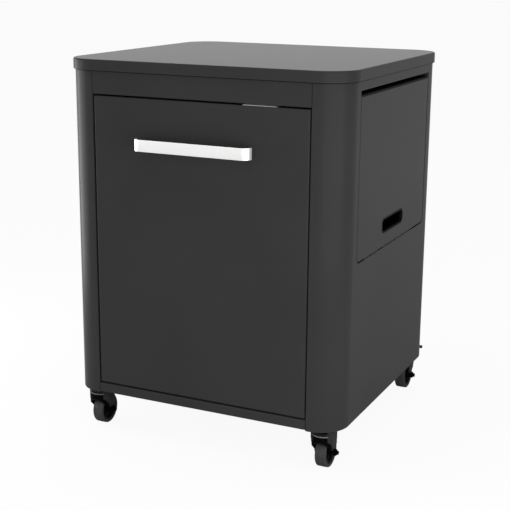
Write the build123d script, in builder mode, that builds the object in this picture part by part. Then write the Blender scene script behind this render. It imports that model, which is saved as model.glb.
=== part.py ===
"""Outdoor kitchen cabinet on casters, with a front door and a fold-up side shelf.

Millimetres, +X to the cabinet's right, +Y to its back, +Z up. The origin lies on the floor under the
middle of the footprint, which runs from the handle's face to the worktop's rear edge.
"""
from build123d import *
import os
from math import sqrt

os.makedirs("parts", exist_ok=True)

# Body
body_width = 600.0
body_depth = 572.0
total_height = 783.0
underside = 90.5  # floor to the base pan
corner_radius = 60.0  # plan radius of the side shells
sheet = 1.5
bend_radius = 2.5  # outside of a fold
skirt = 1.5  # side shells hang this far below the base pan
seam = 0.6  # joint between flush panels
loose = 0.3  # gap between pieces that slip past each other
close = 0.05  # radial gap of pins, screws and bores

# Worktop
overhang = 4.0
rim_height = 21.5
top_sheet = 2.0
top_edge_radius = 3.0
stiffener_depth = 17.0
stiffener_width = 50.0
stiffener_foot = 16.0
stiffener_length = 500.0
stiffener_spacing = 240.0

# Side shells
jamb_flat = 5.5  # flat strip between the round corner and the door opening
jamb_depth = 25.0
rear_flange = 15.0
top_flange = 16.0
top_flange_length = 380.0
stud_radius = 2.5
stud_length = 13.0
stud_spacing = 150.0
stud_nut_radius = 4.6
stud_nut_height = 4.0

# Front fascia and base pan
fascia_height = 45.9  # visible below the worktop's rim
fascia_depth = 28.0
fascia_top_fold = 16.0
rail_height = 19.8
rail_depth = 24.0
base_fold = 40.0  # floor strip folded with the rail
base_flange = 15.0
base_flange_length = 430.0
deck_side_margin = 80.0  # body's sides to the floor inside the pressed bead, clear of the caster plates
deck_end_margin = 46.0
deck_corner = 30.0
bead_width = 10.0
bead_depth = 3.0
rear_rail_length = 581.0
rear_rail_height = 6.5
rear_rail_thickness = 3.0

# Back panel
vent_length = 54.0
vent_width = 8.0
vent_pitch = 30.0
vent_count = 7
vent_margin = 85.0  # row centres from the panel's ends
back_screw_radius = 2.0
back_screw_head = 4.0
back_screw_head_height = 2.2
back_screw_length = 6.0
back_screw_margin = 45.0
back_screw_count = 4

# Door
door_gap = 3.2
door_depth = 20.0
door_edge_radius = 3.0
door_lip = 14.0  # return round the open back of the skin
liner_sheet = 1.2
liner_margin = 4.0
liner_screw_radius = 1.5
liner_screw_head = 3.2
liner_screw_head_height = 1.5
liner_screw_length = 7.0
liner_screw_inset = 51.3  # row screws from the door's sides
rest_lip = 15.0  # stop behind the door's free edge
bumper_radius = 3.5
bumper_spacing = 440.0

# Door pivots, both measured from the door's corner
pivot_inset = 8.0
pivot_radius = 4.0
pivot_grip = 14.0  # pin length inside the door
pivot_head = 6.0
pivot_head_height = 3.0
pivot_block_width = 24.0
pivot_block_height = 20.0
pivot_plate = 4.0
pivot_plate_width = 28.0
pivot_plate_depth = 18.0
washer_radius = 7.5

# Door catch
strike_inset = 67.2  # from the door's free edge
strike_length = 70.4
strike_depth = 14.0
strike_thickness = 0.8
magnet_thickness = 2.0
magnet_inset = 4.0

# Handle, a bent flat bar on two posts
handle_length = 250.0
handle_height = 23.0
handle_reach = 32.0
handle_bar = 4.0
handle_bend = 15.0
handle_return = 18.0  # bent ends, back from the bar's face
handle_drop = 86.9  # door's top edge to the bar's middle
handle_middle_x = -3.0
handle_post_radius = 4.5
handle_post_spacing = 210.0
handle_screw_radius = 2.0
handle_screw_grip = 12.0  # screw length in the post
handle_screw_head = 3.9
handle_screw_head_height = 2.6

# Side shelf in the right shell's window
side_margin = 17.0  # flat between the round corner and the window
window_rail = 19.0  # strip above the window, below the worktop's rim
window_height = 330.7
window_corner = 15.0
shelf_gap = 2.0
shelf_slot = 9.0  # opening above the shelf
shelf_depth = 20.0
shelf_edge_radius = 2.5
shelf_top_corner = 3.0
hand_hole_width = 125.0
hand_hole_height = 26.0
hand_hole_corner = 10.0
hand_hole_rise = 30.5  # shelf's bottom edge to the hole
hand_hole_collar = 5.0
shelf_stiffener_width = 60.0
shelf_stiffener_depth = 10.0
shelf_stiffener_foot = 12.0
shelf_stiffener_length = 370.0
shelf_stiffener_drop = 170.0  # below the shelf's top edge

# Shelf pivots, measured from the shelf's top edge and outer face
shelf_pivot_inset = 10.0
shelf_pin_radius = 4.0
shelf_pin_head = 6.0
shelf_pin_head_height = 3.0
shelf_pin_grip = 7.0  # past the inside of the shelf's flange
shelf_bush_radius = 6.0
shelf_bush_flange = 7.5
shelf_bush_flange_thickness = 2.0
shelf_jamb_sheet = 2.0
shelf_jamb_setback = 0.5
shelf_jamb_reach = 38.5
shelf_jamb_leg = 15.0
shelf_jamb_height = 190.0
shelf_jamb_rise = 12.0  # above the window
stop_rail_length = 300.0
stop_rail_leg = 16.0
stop_rail_lip = 12.0

# Prop struts
strut_drop = 125.0  # shelf axis to the strut's pin
strut_inset = 4.0  # pin behind the shelf axis
strut_length = 160.0
strut_width = 12.0
strut_thickness = 4.0
strut_offset = 5.5  # from the inside of the shelf's flange
strut_pin_radius = 3.0
strut_pin_head = 5.0
strut_pin_head_height = 1.7
foot_radius = 3.0
foot_inset = 20.0  # resting foot behind the shelf axis
catch_depth = 10.0
catch_height = 22.0
catch_hold = 2.0  # catch lips past the foot's middle
catch_gap = 0.2
catch_offset = 1.5

# Casters
wheel_radius = 32.0
wheel_width = 20.0
tyre_depth = 7.0
tyre_shoulder = 3.5
tyre_shoulder_drop = 2.0
trail = 14.0  # axle behind the swivel axis
caster_side_inset = 43.0
caster_front_inset = 39.0
caster_rear_inset = 43.0
stem_radius = 5.0
stem_length = 17.0
cap_radius = 19.5
cap_neck = 13.0
cap_height = 7.5
race_gap = 0.6
race_radius = 23.0
race_height = 8.0
race_edge = 2.0
crown_half = 23.5
fork_sheet = 2.5
fork_knee_top = 64.0
fork_knee_low = 40.0
leg_half = 16.5  # outside of the legs at the axle
leg_boss = 10.0
leg_shoulder = 8.0
leg_rear_half = 19.5  # outside of the legs behind the round crown
leg_back = 26.0  # legs behind the swivel axis
crown_rear = 10.0
kingpin_radius = 6.0
kingpin_head = 9.0
kingpin_head_height = 2.0
axle_radius = 4.0
axle_head = 7.0
axle_head_height = 5.0
axle_end = 4.0  # thread past the nut
nut_height = 6.5
hub_boss = 9.0
hub_boss_gap = 0.4
hub_rim = 4.0
hub_rim_half = 9.5
hub_web_half = 4.0
hub_rib = 2.5
hub_rib_half = 8.0
hub_rib_count = 6
backing_radius = 20.0
backing_thickness = 4.0
stem_nut_radius = 9.2
stem_nut_height = 8.0

# Places worked out from the sizes above
front = (handle_reach - body_depth - overhang) / 2
back = front + body_depth
middle = (front + back) / 2
half_width = body_width / 2
rim_bottom = total_height - rim_height
top_underside = total_height - top_sheet
floor_top = underside + sheet
shell_bottom = underside - skirt
opening_half = half_width - corner_radius - jamb_flat
rear_opening_half = half_width - corner_radius - rear_flange
fascia_bottom = rim_bottom - fascia_height
rail_top = underside + rail_height
panel_half = opening_half - seam

door_half = opening_half - door_gap
door_bottom = rail_top + door_gap
door_top = fascia_bottom - door_gap
door_height = door_top - door_bottom
door_middle = (door_top + door_bottom) / 2
door_back = front + door_depth
liner_back = door_back + liner_sheet
pivot_x = -door_half + pivot_inset
pivot_y = front + pivot_inset
handle_middle = door_top - handle_drop
rest_face = front + jamb_depth - sheet

window_half = body_depth / 2 - corner_radius - side_margin
window_top = rim_bottom - window_rail
window_bottom = window_top - window_height
shelf_half = window_half - shelf_gap
shelf_top = window_top - shelf_slot
shelf_bottom = window_bottom + shelf_gap
shelf_back = half_width - shelf_depth
shelf_axis_x = half_width - shelf_pivot_inset
shelf_axis_z = shelf_top - shelf_pivot_inset
shelf_flange = shelf_half - sheet
shelf_jamb_face = window_half + shelf_jamb_setback
hand_hole_middle = shelf_bottom + hand_hole_rise + hand_hole_height / 2
strut_outer = shelf_flange - strut_offset
strut_x = shelf_axis_x - strut_inset
strut_z = shelf_axis_z - strut_drop
foot_z = strut_z - strut_length
seat_x = shelf_axis_x - foot_inset
seat_z = shelf_axis_z - strut_inset - sqrt(strut_length**2 - (strut_drop + foot_inset) ** 2)

caster_x = half_width - caster_side_inset
caster_corners = {
    "front_left": (-caster_x, front + caster_front_inset),
    "front_right": (caster_x, front + caster_front_inset),
    "rear_left": (-caster_x, back - caster_rear_inset),
    "rear_right": (caster_x, back - caster_rear_inset),
}
cap_bottom = underside - cap_height
race_top = cap_bottom - race_gap
race_bottom = race_top - race_height
crown_bottom = race_bottom - fork_sheet
leg_inner = leg_half - fork_sheet
tyre_inner = wheel_radius - tyre_depth

back_screw_x = rear_opening_half + rear_flange / 2
back_screw_low = underside + back_screw_margin
back_screw_step = (top_underside - underside - 2 * back_screw_margin) / (back_screw_count - 1)
back_screw_points = [
    (side * back_screw_x, back_screw_low + index * back_screw_step)
    for side in (-1, 1)
    for index in range(back_screw_count)
]
stud_x = half_width - sheet - top_flange / 2
stud_points = [
    (side * stud_x, middle + step * stud_spacing) for side in (-1, 1) for step in (-1, 0, 1)
]
liner_screw_x = door_half - (door_lip + liner_margin) / 2
liner_screw_z = door_height / 2 - (door_lip + liner_margin) / 2
bumper_x = opening_half - rest_lip + bumper_radius + loose


def front_view(y):
    """Plane across the cabinet at y, read as X and Z, that extrudes towards the front."""
    return Plane(origin=(0, y, 0), x_dir=(1, 0, 0), z_dir=(0, -1, 0))


def folded_strip(*points, thickness=sheet, bends=bend_radius, side=Side.LEFT):
    """Section of a folded sheet, whose one face follows the given points."""
    with BuildSketch() as section:
        with BuildLine():
            FilletPolyline(*points, radius=bends)
            offset(amount=thickness, side=side)
        make_face()
    return section.sketch


def fork_front(wall):
    """Caster fork seen from the front, drawn in by a wall thickness."""
    with BuildSketch() as outline:
        with BuildLine():
            Polyline(
                (0, 0),
                (leg_half - wall, 0),
                (leg_half - wall, fork_knee_low),
                (crown_half - wall, fork_knee_top),
                (crown_half - wall, race_bottom - wall),
                (0, race_bottom - wall),
                close=True,
            )
        make_face()
        mirror(about=Plane.YZ)
    return outline.sketch


def fork_plan(wall):
    """Caster fork seen from above, round in front and open behind, drawn in by a wall thickness."""
    with BuildSketch() as outline:
        Circle(crown_half - wall)
        Rectangle(2 * (leg_rear_half - wall), leg_back + wall, align=(Align.CENTER, Align.MIN))
    return outline.sketch


def save(piece, name):
    """Label a finished piece and write its file."""
    piece.label = name
    export_step(piece, f"parts/{name}.step")


# Worktop: a shallow tray turned over the body, stiffened by two hat channels
with BuildPart() as worktop:
    with BuildSketch(Plane.XY.offset(rim_bottom)):
        with Locations((0, middle)):
            RectangleRounded(body_width + 2 * overhang, body_depth + 2 * overhang, corner_radius + overhang)
    extrude(amount=rim_height)
    fillet(worktop.faces().sort_by(Axis.Z)[-1].edges(), top_edge_radius)
    offset(amount=-top_sheet, openings=worktop.faces().sort_by(Axis.Z)[0])
save(worktop.part, "worktop")

hat_half = stiffener_width / 2
with BuildPart() as worktop_stiffeners:
    with BuildSketch(Plane.YZ):
        hat = folded_strip(
            (-hat_half - stiffener_foot, 0),
            (-hat_half, 0),
            (-hat_half, -stiffener_depth),
            (hat_half, -stiffener_depth),
            (hat_half, 0),
            (hat_half + stiffener_foot, 0),
            side=Side.RIGHT,
        )
        with Locations((middle, top_underside)):
            with GridLocations(stiffener_spacing, 0, 2, 1):
                add(hat)
    extrude(amount=stiffener_length / 2, both=True)
save(worktop_stiffeners.part, "worktop_stiffeners")

# Side shells: one bent sheet each, from the door jamb round both corners to the back
for side, shell_name in ((-1, "left_side_shell"), (1, "right_side_shell")):
    with BuildPart() as shell:
        with BuildSketch(Plane.XY.offset(shell_bottom)):
            with Locations((0, middle)):
                RectangleRounded(body_width, body_depth, corner_radius)
                RectangleRounded(
                    body_width - 2 * sheet, body_depth - 2 * sheet, corner_radius - sheet, mode=Mode.SUBTRACT
                )
            with Locations((side * (opening_half - half_width), middle - body_depth / 4)):
                Rectangle(body_width, body_depth / 2, mode=Mode.SUBTRACT)
            with Locations((side * (rear_opening_half - half_width), middle + body_depth / 4)):
                Rectangle(body_width, body_depth / 2, mode=Mode.SUBTRACT)
            with Locations((side * (opening_half + sheet / 2), front + jamb_depth / 2)):
                Rectangle(sheet, jamb_depth)
        extrude(amount=top_underside - shell_bottom)
        with BuildSketch(Plane.XY.offset(top_underside - sheet)):
            with Locations((side * (half_width - sheet - top_flange / 2), middle)):
                Rectangle(top_flange, top_flange_length)
        extrude(amount=sheet)
        with BuildSketch(Plane.XY.offset(top_underside - sheet)):
            with Locations(*stud_points):
                Circle(stud_radius + close)
        extrude(amount=sheet, mode=Mode.SUBTRACT)
        with BuildSketch(front_view(back)):
            with Locations(*back_screw_points):
                Circle(back_screw_radius + close)
        extrude(amount=2 * sheet, mode=Mode.SUBTRACT)
        if side > 0:
            # Stop behind the door's free edge
            with BuildSketch(Plane.XY.offset(door_bottom)):
                with Locations((opening_half - rest_lip / 2, rest_face + sheet / 2)):
                    Rectangle(rest_lip, sheet)
            extrude(amount=door_height)
            # Window for the side shelf
            with BuildSketch(Plane.YZ.offset(half_width - 2 * sheet)):
                with Locations((middle, (window_top + window_bottom) / 2)):
                    window = Rectangle(2 * window_half, window_height)
                fillet(window.vertices().group_by(Axis.Y)[0], window_corner)
            extrude(amount=4 * sheet, mode=Mode.SUBTRACT)
    save(shell.part, shell_name)

# Studs on the worktop's underside, and their nuts below the shells' top flanges
with BuildPart() as worktop_studs:
    with BuildSketch(Plane.XY.offset(top_underside - stud_length)):
        with Locations(*stud_points):
            Circle(stud_radius)
    extrude(amount=stud_length)
save(worktop_studs.part, "worktop_studs")

with BuildPart() as stud_nuts:
    with BuildSketch(Plane.XY.offset(top_underside - sheet - stud_nut_height)):
        with Locations(*stud_points):
            RegularPolygon(stud_nut_radius, 6)
            Circle(stud_radius + close, mode=Mode.SUBTRACT)
    extrude(amount=stud_nut_height)
save(stud_nuts.part, "stud_nuts")

# Front fascia: a channel between the jambs, with folded ends
with BuildPart() as front_fascia:
    with BuildSketch(Plane.YZ):
        add(
            folded_strip(
                (front + fascia_top_fold, top_underside),
                (front, top_underside),
                (front, fascia_bottom),
                (front + fascia_depth, fascia_bottom),
            )
        )
    extrude(amount=panel_half, both=True)
    with BuildSketch(Plane.XY.offset(fascia_bottom)):
        for end in (-1, 1):
            with Locations((end * (panel_half - sheet / 2), front + bend_radius + fascia_top_fold / 2)):
                Rectangle(sheet, fascia_top_fold)
    extrude(amount=rim_bottom - fascia_bottom)
    with Locations((pivot_x, pivot_y, fascia_bottom)):
        Cylinder(pivot_radius + close, 4 * sheet, mode=Mode.SUBTRACT)
save(front_fascia.part, "front_fascia")

# Base pan: floor, the rail folded up under the door, and side flanges inside the shells
base_half = half_width - sheet - loose
base_depth = body_depth - 2 * (sheet + loose)
deck_width = body_width - 2 * deck_side_margin
deck_depth = body_depth - 2 * deck_end_margin
with BuildPart() as base_pan:
    with BuildSketch(Plane.XY.offset(underside)):
        with Locations((0, middle)):
            RectangleRounded(2 * base_half, base_depth, corner_radius - sheet - loose)
        for side in (-1, 1):
            with Locations((side * (opening_half + sheet / 2), front + (jamb_depth + loose) / 2)):
                Rectangle(sheet + 2 * loose, jamb_depth + loose, mode=Mode.SUBTRACT)
    extrude(amount=sheet)
    with BuildSketch(Plane.XY.offset(underside)):
        for side in (-1, 1):
            with Locations((side * (base_half - sheet / 2), middle)):
                Rectangle(sheet, base_flange_length)
    extrude(amount=base_flange)
    with BuildSketch(Plane.YZ):
        add(
            folded_strip(
                (front + rail_depth, rail_top),
                (front, rail_top),
                (front, underside),
                (front + base_fold, underside),
            )
        )
    extrude(amount=panel_half, both=True)
    # Bead pressed down round the deck: its wall below the sheet, then its groove
    for wall, level, mode in ((sheet, underside, Mode.ADD), (0, floor_top, Mode.SUBTRACT)):
        rim = bead_width + wall
        with BuildSketch(Plane.XY.offset(level - bead_depth)):
            with Locations((0, middle)):
                RectangleRounded(deck_width + 2 * rim, deck_depth + 2 * rim, deck_corner + rim)
                RectangleRounded(
                    deck_width - 2 * wall, deck_depth - 2 * wall, deck_corner - wall, mode=Mode.SUBTRACT
                )
        extrude(amount=bead_depth, mode=mode)
    with BuildSketch(Plane.XY.offset(underside)):
        with Locations(*caster_corners.values()):
            Circle(stem_radius + close)
    extrude(amount=sheet, mode=Mode.SUBTRACT)
    with Locations((pivot_x, pivot_y, rail_top)):
        Cylinder(pivot_radius + close, 4 * sheet, mode=Mode.SUBTRACT)
save(base_pan.part, "base_pan")

with BuildPart() as rear_rail:
    with BuildSketch(Plane.XY.offset(underside)):
        with Locations((0, back + rear_rail_thickness / 2)):
            Rectangle(rear_rail_length, rear_rail_thickness)
    extrude(amount=rear_rail_height)
save(rear_rail.part, "rear_rail")

# Back panel inside the shells' rear flanges, with two rows of vents
panel_height = top_underside - floor_top
with BuildPart() as back_panel:
    with BuildSketch(front_view(back - sheet)):
        with Locations((0, floor_top + panel_height / 2)):
            Rectangle(2 * (rear_opening_half + rear_flange - loose), panel_height)
            with GridLocations(vent_pitch, panel_height - 2 * vent_margin, vent_count, 2):
                SlotOverall(vent_length, vent_width, rotation=90, mode=Mode.SUBTRACT)
        with Locations(*back_screw_points):
            Circle(back_screw_radius + close, mode=Mode.SUBTRACT)
    extrude(amount=sheet)
save(back_panel.part, "back_panel")

with BuildPart() as back_panel_screws:
    with BuildSketch(front_view(back + back_screw_head_height)):
        with Locations(*back_screw_points):
            Circle(back_screw_head)
    extrude(amount=back_screw_head_height)
    with BuildSketch(front_view(back)):
        with Locations(*back_screw_points):
            Circle(back_screw_radius)
    extrude(amount=back_screw_length)
save(back_panel_screws.part, "back_panel_screws")

# Door: a folded pan with a return round its open back, closed by a flat liner
liner_row_half = door_half - liner_screw_inset
liner_screw_points = [
    (x, door_middle + z)
    for x in (-liner_row_half, 0, liner_row_half)
    for z in (-liner_screw_z, liner_screw_z)
] + [(-liner_screw_x, door_middle), (liner_screw_x, door_middle)]
with BuildPart() as door_skin:
    with BuildSketch(front_view(door_back)):
        with Locations((0, door_middle)):
            Rectangle(2 * door_half, door_height)
    extrude(amount=door_depth)
    fillet(door_skin.faces().sort_by(Axis.Y)[0].edges(), door_edge_radius)
    offset(amount=-sheet, openings=door_skin.faces().sort_by(Axis.Y)[-1])
    with BuildSketch(front_view(door_back)):
        with Locations((0, door_middle)):
            Rectangle(2 * door_half - sheet, door_height - sheet)
            Rectangle(2 * (door_half - door_lip), door_height - 2 * door_lip, mode=Mode.SUBTRACT)
        with Locations(*liner_screw_points):
            Circle(liner_screw_radius + close, mode=Mode.SUBTRACT)
    extrude(amount=sheet)
    with Locations((pivot_x, pivot_y, door_middle)):
        Cylinder(pivot_radius + loose, door_height + sheet, mode=Mode.SUBTRACT)
    with BuildSketch(front_view(front + 2 * sheet)):
        with Locations((handle_middle_x, handle_middle)):
            with GridLocations(handle_post_spacing, 0, 2, 1):
                Circle(handle_screw_radius + close)
    extrude(amount=3 * sheet, mode=Mode.SUBTRACT)
save(door_skin.part, "door_skin")

with BuildPart() as door_liner:
    with BuildSketch(front_view(liner_back)):
        with Locations((0, door_middle)):
            Rectangle(2 * (door_half - liner_margin), door_height - 2 * liner_margin)
        with Locations(*liner_screw_points):
            Circle(liner_screw_radius + close, mode=Mode.SUBTRACT)
    extrude(amount=liner_sheet)
save(door_liner.part, "door_liner")

with BuildPart() as liner_screws:
    with BuildSketch(front_view(liner_back + liner_screw_head_height)):
        with Locations(*liner_screw_points):
            Circle(liner_screw_head)
    extrude(amount=liner_screw_head_height)
    with BuildSketch(front_view(liner_back)):
        with Locations(*liner_screw_points):
            Circle(liner_screw_radius)
    extrude(amount=liner_screw_length)
save(liner_screws.part, "liner_screws")

# Bumpers on the stop, just behind the closed door
with BuildPart() as door_bumpers:
    with BuildSketch(front_view(rest_face)):
        with Locations((bumper_x, door_middle)):
            with GridLocations(0, bumper_spacing, 1, 2):
                Circle(bumper_radius)
    extrude(amount=rest_face - liner_back - loose)
save(door_bumpers.part, "door_bumpers")

# Handle: a flat bar with its ends bent back, welded to two posts screwed on from inside the door
bar_face = front - handle_reach
bar_left = handle_middle_x - handle_length / 2
bar_right = handle_middle_x + handle_length / 2
with BuildPart() as handle:
    with BuildSketch(Plane.XY.offset(handle_middle - handle_height / 2)):
        add(
            folded_strip(
                (bar_left, bar_face + handle_return),
                (bar_left, bar_face),
                (bar_right, bar_face),
                (bar_right, bar_face + handle_return),
                thickness=handle_bar,
                bends=handle_bend,
            )
        )
    extrude(amount=handle_height)
save(handle.part, "handle")

with BuildPart() as handle_posts:
    with BuildSketch(front_view(front)):
        with Locations((handle_middle_x, handle_middle)):
            with GridLocations(handle_post_spacing, 0, 2, 1):
                Circle(handle_post_radius)
    extrude(amount=handle_reach - handle_bar)
    with BuildSketch(front_view(front)):
        with Locations((handle_middle_x, handle_middle)):
            with GridLocations(handle_post_spacing, 0, 2, 1):
                Circle(handle_screw_radius + close)
    extrude(amount=handle_screw_grip + loose, mode=Mode.SUBTRACT)
save(handle_posts.part, "handle_posts")

with BuildPart() as handle_screws:
    for start, length, radius in (
        (front + sheet + handle_screw_head_height, handle_screw_head_height, handle_screw_head),
        (front + sheet, sheet + handle_screw_grip, handle_screw_radius),
    ):
        with BuildSketch(front_view(start)):
            with Locations((handle_middle_x, handle_middle)):
                with GridLocations(handle_post_spacing, 0, 2, 1):
                    Circle(radius)
        extrude(amount=length)
save(handle_screws.part, "handle_screws")

# Door pivots: blocks in the door, plates on fascia and rail, headed pins and a washer that carries the door
block_low = door_bottom + sheet
block_high = door_top - sheet - pivot_block_height
block_depth = door_depth - door_edge_radius - sheet - loose
with BuildPart() as pivot_blocks:
    for level in (block_low, block_high):
        with BuildSketch(Plane.XY.offset(level)):
            with Locations((-door_half + sheet + loose, front + door_edge_radius)):
                Rectangle(pivot_block_width, block_depth, align=(Align.MIN, Align.MIN))
            with Locations((pivot_x, pivot_y)):
                Circle(pivot_radius + close, mode=Mode.SUBTRACT)
        extrude(amount=pivot_block_height)
save(pivot_blocks.part, "pivot_blocks")

plate_low = rail_top - sheet - pivot_plate
plate_high = fascia_bottom + sheet
with BuildPart() as pivot_plates:
    for level in (plate_low, plate_high):
        with BuildSketch(Plane.XY.offset(level)):
            with Locations((-panel_half + sheet + loose, front + bend_radius)):
                Rectangle(pivot_plate_width, pivot_plate_depth, align=(Align.MIN, Align.MIN))
            with Locations((pivot_x, pivot_y)):
                Circle(pivot_radius + close, mode=Mode.SUBTRACT)
        extrude(amount=pivot_plate)
save(pivot_plates.part, "pivot_plates")

with BuildPart() as pivot_pins:
    for low, high in (
        (plate_low, door_bottom + pivot_grip),
        (door_top - pivot_grip, plate_high + pivot_plate),
    ):
        with BuildSketch(Plane.XY.offset(low)):
            with Locations((pivot_x, pivot_y)):
                Circle(pivot_radius)
        extrude(amount=high - low)
    for low in (plate_low - pivot_head_height, plate_high + pivot_plate):
        with BuildSketch(Plane.XY.offset(low)):
            with Locations((pivot_x, pivot_y)):
                Circle(pivot_head)
        extrude(amount=pivot_head_height)
save(pivot_pins.part, "pivot_pins")

with BuildPart() as thrust_washer:
    with BuildSketch(Plane.XY.offset(rail_top)):
        with Locations((pivot_x, pivot_y)):
            Circle(washer_radius)
            Circle(pivot_radius + close, mode=Mode.SUBTRACT)
    extrude(amount=door_gap - loose)
save(thrust_washer.part, "thrust_washer")

# Door catch: a magnet bar under the fascia, over a strike plate on the door's top edge
strike_middle = door_half - strike_inset - strike_length / 2
with BuildPart() as strike_plate:
    with BuildSketch(Plane.XY.offset(door_top)):
        with Locations((strike_middle, front + door_edge_radius + loose + strike_depth / 2)):
            Rectangle(strike_length, strike_depth)
    extrude(amount=strike_thickness)
save(strike_plate.part, "strike_plate")

with BuildPart() as catch_magnet:
    with BuildSketch(Plane.XY.offset(fascia_bottom - magnet_thickness)):
        with Locations((strike_middle, front + magnet_inset + strike_depth / 2)):
            Rectangle(strike_length - 2 * magnet_inset, strike_depth - 2 * loose)
    extrude(amount=magnet_thickness)
save(catch_magnet.part, "catch_magnet")

# Side shelf: a pan with a collared hand hole, its outer face flush with the shell
with BuildPart() as shelf_panel:
    with BuildSketch(Plane.YZ.offset(shelf_back)):
        with Locations((middle, (shelf_top + shelf_bottom) / 2)):
            outline = Rectangle(2 * shelf_half, shelf_top - shelf_bottom)
        corners = outline.vertices().group_by(Axis.Y)
        fillet(corners[0], window_corner - shelf_gap)
        fillet(corners[-1], shelf_top_corner)
    extrude(amount=shelf_depth)
    fillet(shelf_panel.faces().sort_by(Axis.X)[-1].edges(), shelf_edge_radius)
    offset(amount=-sheet, openings=shelf_panel.faces().sort_by(Axis.X)[0])
    with BuildSketch(Plane.YZ.offset(half_width - hand_hole_collar)):
        with Locations((middle, hand_hole_middle)):
            RectangleRounded(
                hand_hole_width + 2 * sheet, hand_hole_height + 2 * sheet, hand_hole_corner + sheet
            )
    extrude(amount=hand_hole_collar - sheet / 2)
    with BuildSketch(Plane.YZ.offset(shelf_back)):
        with Locations((middle, hand_hole_middle)):
            RectangleRounded(hand_hole_width, hand_hole_height, hand_hole_corner)
    extrude(amount=shelf_depth, mode=Mode.SUBTRACT)
    with BuildSketch(front_view(middle + shelf_half)):
        with Locations((shelf_axis_x, shelf_axis_z)):
            Circle(shelf_bush_radius + close)
        with Locations((strut_x, strut_z)):
            Circle(strut_pin_radius + close)
    extrude(amount=2 * shelf_half, mode=Mode.SUBTRACT)
save(shelf_panel.part, "shelf_panel")

rib_half = shelf_stiffener_width / 2
rib_face = half_width - sheet
rib_level = shelf_top - shelf_stiffener_drop
with BuildPart() as shelf_stiffener:
    with BuildSketch(front_view(middle)):
        add(
            folded_strip(
                (rib_face, rib_level - rib_half - shelf_stiffener_foot),
                (rib_face, rib_level - rib_half),
                (rib_face - shelf_stiffener_depth, rib_level - rib_half),
                (rib_face - shelf_stiffener_depth, rib_level + rib_half),
                (rib_face, rib_level + rib_half),
                (rib_face, rib_level + rib_half + shelf_stiffener_foot),
            )
        )
    extrude(amount=shelf_stiffener_length / 2, both=True)
save(shelf_stiffener.part, "shelf_stiffener")

# Angles behind the window's edges carry the shelf's pins and the struts' catches
with BuildPart() as shelf_jambs:
    for end in (-1, 1):
        with BuildSketch(Plane.XY.offset(window_top + shelf_jamb_rise - shelf_jamb_height)):
            add(
                folded_strip(
                    (half_width - sheet - shelf_jamb_reach, middle + end * shelf_jamb_face),
                    (half_width - sheet, middle + end * shelf_jamb_face),
                    (half_width - sheet, middle + end * (shelf_jamb_face + shelf_jamb_leg)),
                    thickness=shelf_jamb_sheet,
                    side=Side.LEFT if end > 0 else Side.RIGHT,
                )
            )
        extrude(amount=shelf_jamb_height)
    with BuildSketch(front_view(middle + shelf_jamb_face + shelf_jamb_sheet)):
        with Locations((shelf_axis_x, shelf_axis_z)):
            Circle(shelf_pin_radius + close)
    extrude(amount=2 * (shelf_jamb_face + shelf_jamb_sheet), mode=Mode.SUBTRACT)
save(shelf_jambs.part, "shelf_jambs")

jamb_outer = shelf_jamb_face + shelf_jamb_sheet
with BuildPart() as shelf_pins:
    for end in (-1, 1):
        with BuildSketch(front_view(middle + end * jamb_outer)):
            with Locations((shelf_axis_x, shelf_axis_z)):
                Circle(shelf_pin_radius)
        extrude(amount=end * (jamb_outer - shelf_flange + shelf_pin_grip))
        with BuildSketch(front_view(middle + end * jamb_outer)):
            with Locations((shelf_axis_x, shelf_axis_z)):
                Circle(shelf_pin_head)
        extrude(amount=-end * shelf_pin_head_height)
save(shelf_pins.part, "shelf_pins")

with BuildPart() as shelf_bushes:
    for end in (-1, 1):
        with BuildSketch(front_view(middle + end * shelf_half)):
            with Locations((shelf_axis_x, shelf_axis_z)):
                Circle(shelf_bush_radius)
                Circle(shelf_pin_radius + close, mode=Mode.SUBTRACT)
        extrude(amount=end * (sheet + shelf_bush_flange_thickness))
        with BuildSketch(front_view(middle + end * shelf_flange)):
            with Locations((shelf_axis_x, shelf_axis_z)):
                Circle(shelf_bush_flange)
                Circle(shelf_pin_radius + close, mode=Mode.SUBTRACT)
        extrude(amount=end * shelf_bush_flange_thickness)
save(shelf_bushes.part, "shelf_bushes")

# Rail under the window, whose lip stops the closed shelf
sill = window_bottom - loose
with BuildPart() as shelf_stop_rail:
    with BuildSketch(front_view(middle)):
        add(
            folded_strip(
                (half_width - sheet, sill - stop_rail_leg),
                (half_width - sheet, sill),
                (shelf_back - loose, sill),
                (shelf_back - loose, sill + stop_rail_lip),
            )
        )
    extrude(amount=stop_rail_length / 2, both=True)
save(shelf_stop_rail.part, "shelf_stop_rail")

# Prop struts: flat bars on pins in the shelf's flanges, each with a foot that rests in a catch
for end, strut_name in ((-1, "front_strut"), (1, "rear_strut")):
    with BuildPart() as strut:
        with BuildSketch(front_view(middle + end * strut_outer)):
            with Locations((strut_x, (strut_z + foot_z) / 2)):
                SlotCenterToCenter(strut_length, strut_width, rotation=90)
            with Locations((strut_x, strut_z)):
                Circle(strut_pin_radius + close, mode=Mode.SUBTRACT)
        extrude(amount=end * strut_thickness)
        with BuildSketch(front_view(middle + end * strut_outer)):
            with Locations((strut_x, foot_z)):
                Circle(foot_radius)
        extrude(amount=-end * (strut_offset - loose))
    save(strut.part, strut_name)

strut_inner = strut_outer - strut_thickness
with BuildPart() as strut_pins:
    for end in (-1, 1):
        for start, length, radius in (
            (shelf_half, shelf_half - strut_inner + loose, strut_pin_radius),
            (shelf_flange, strut_offset - loose, strut_pin_head),
            (strut_inner - loose, strut_pin_head_height, strut_pin_head),
        ):
            with BuildSketch(front_view(middle + end * start)):
                with Locations((strut_x, strut_z)):
                    Circle(radius)
            extrude(amount=end * length)
save(strut_pins.part, "strut_pins")

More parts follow.
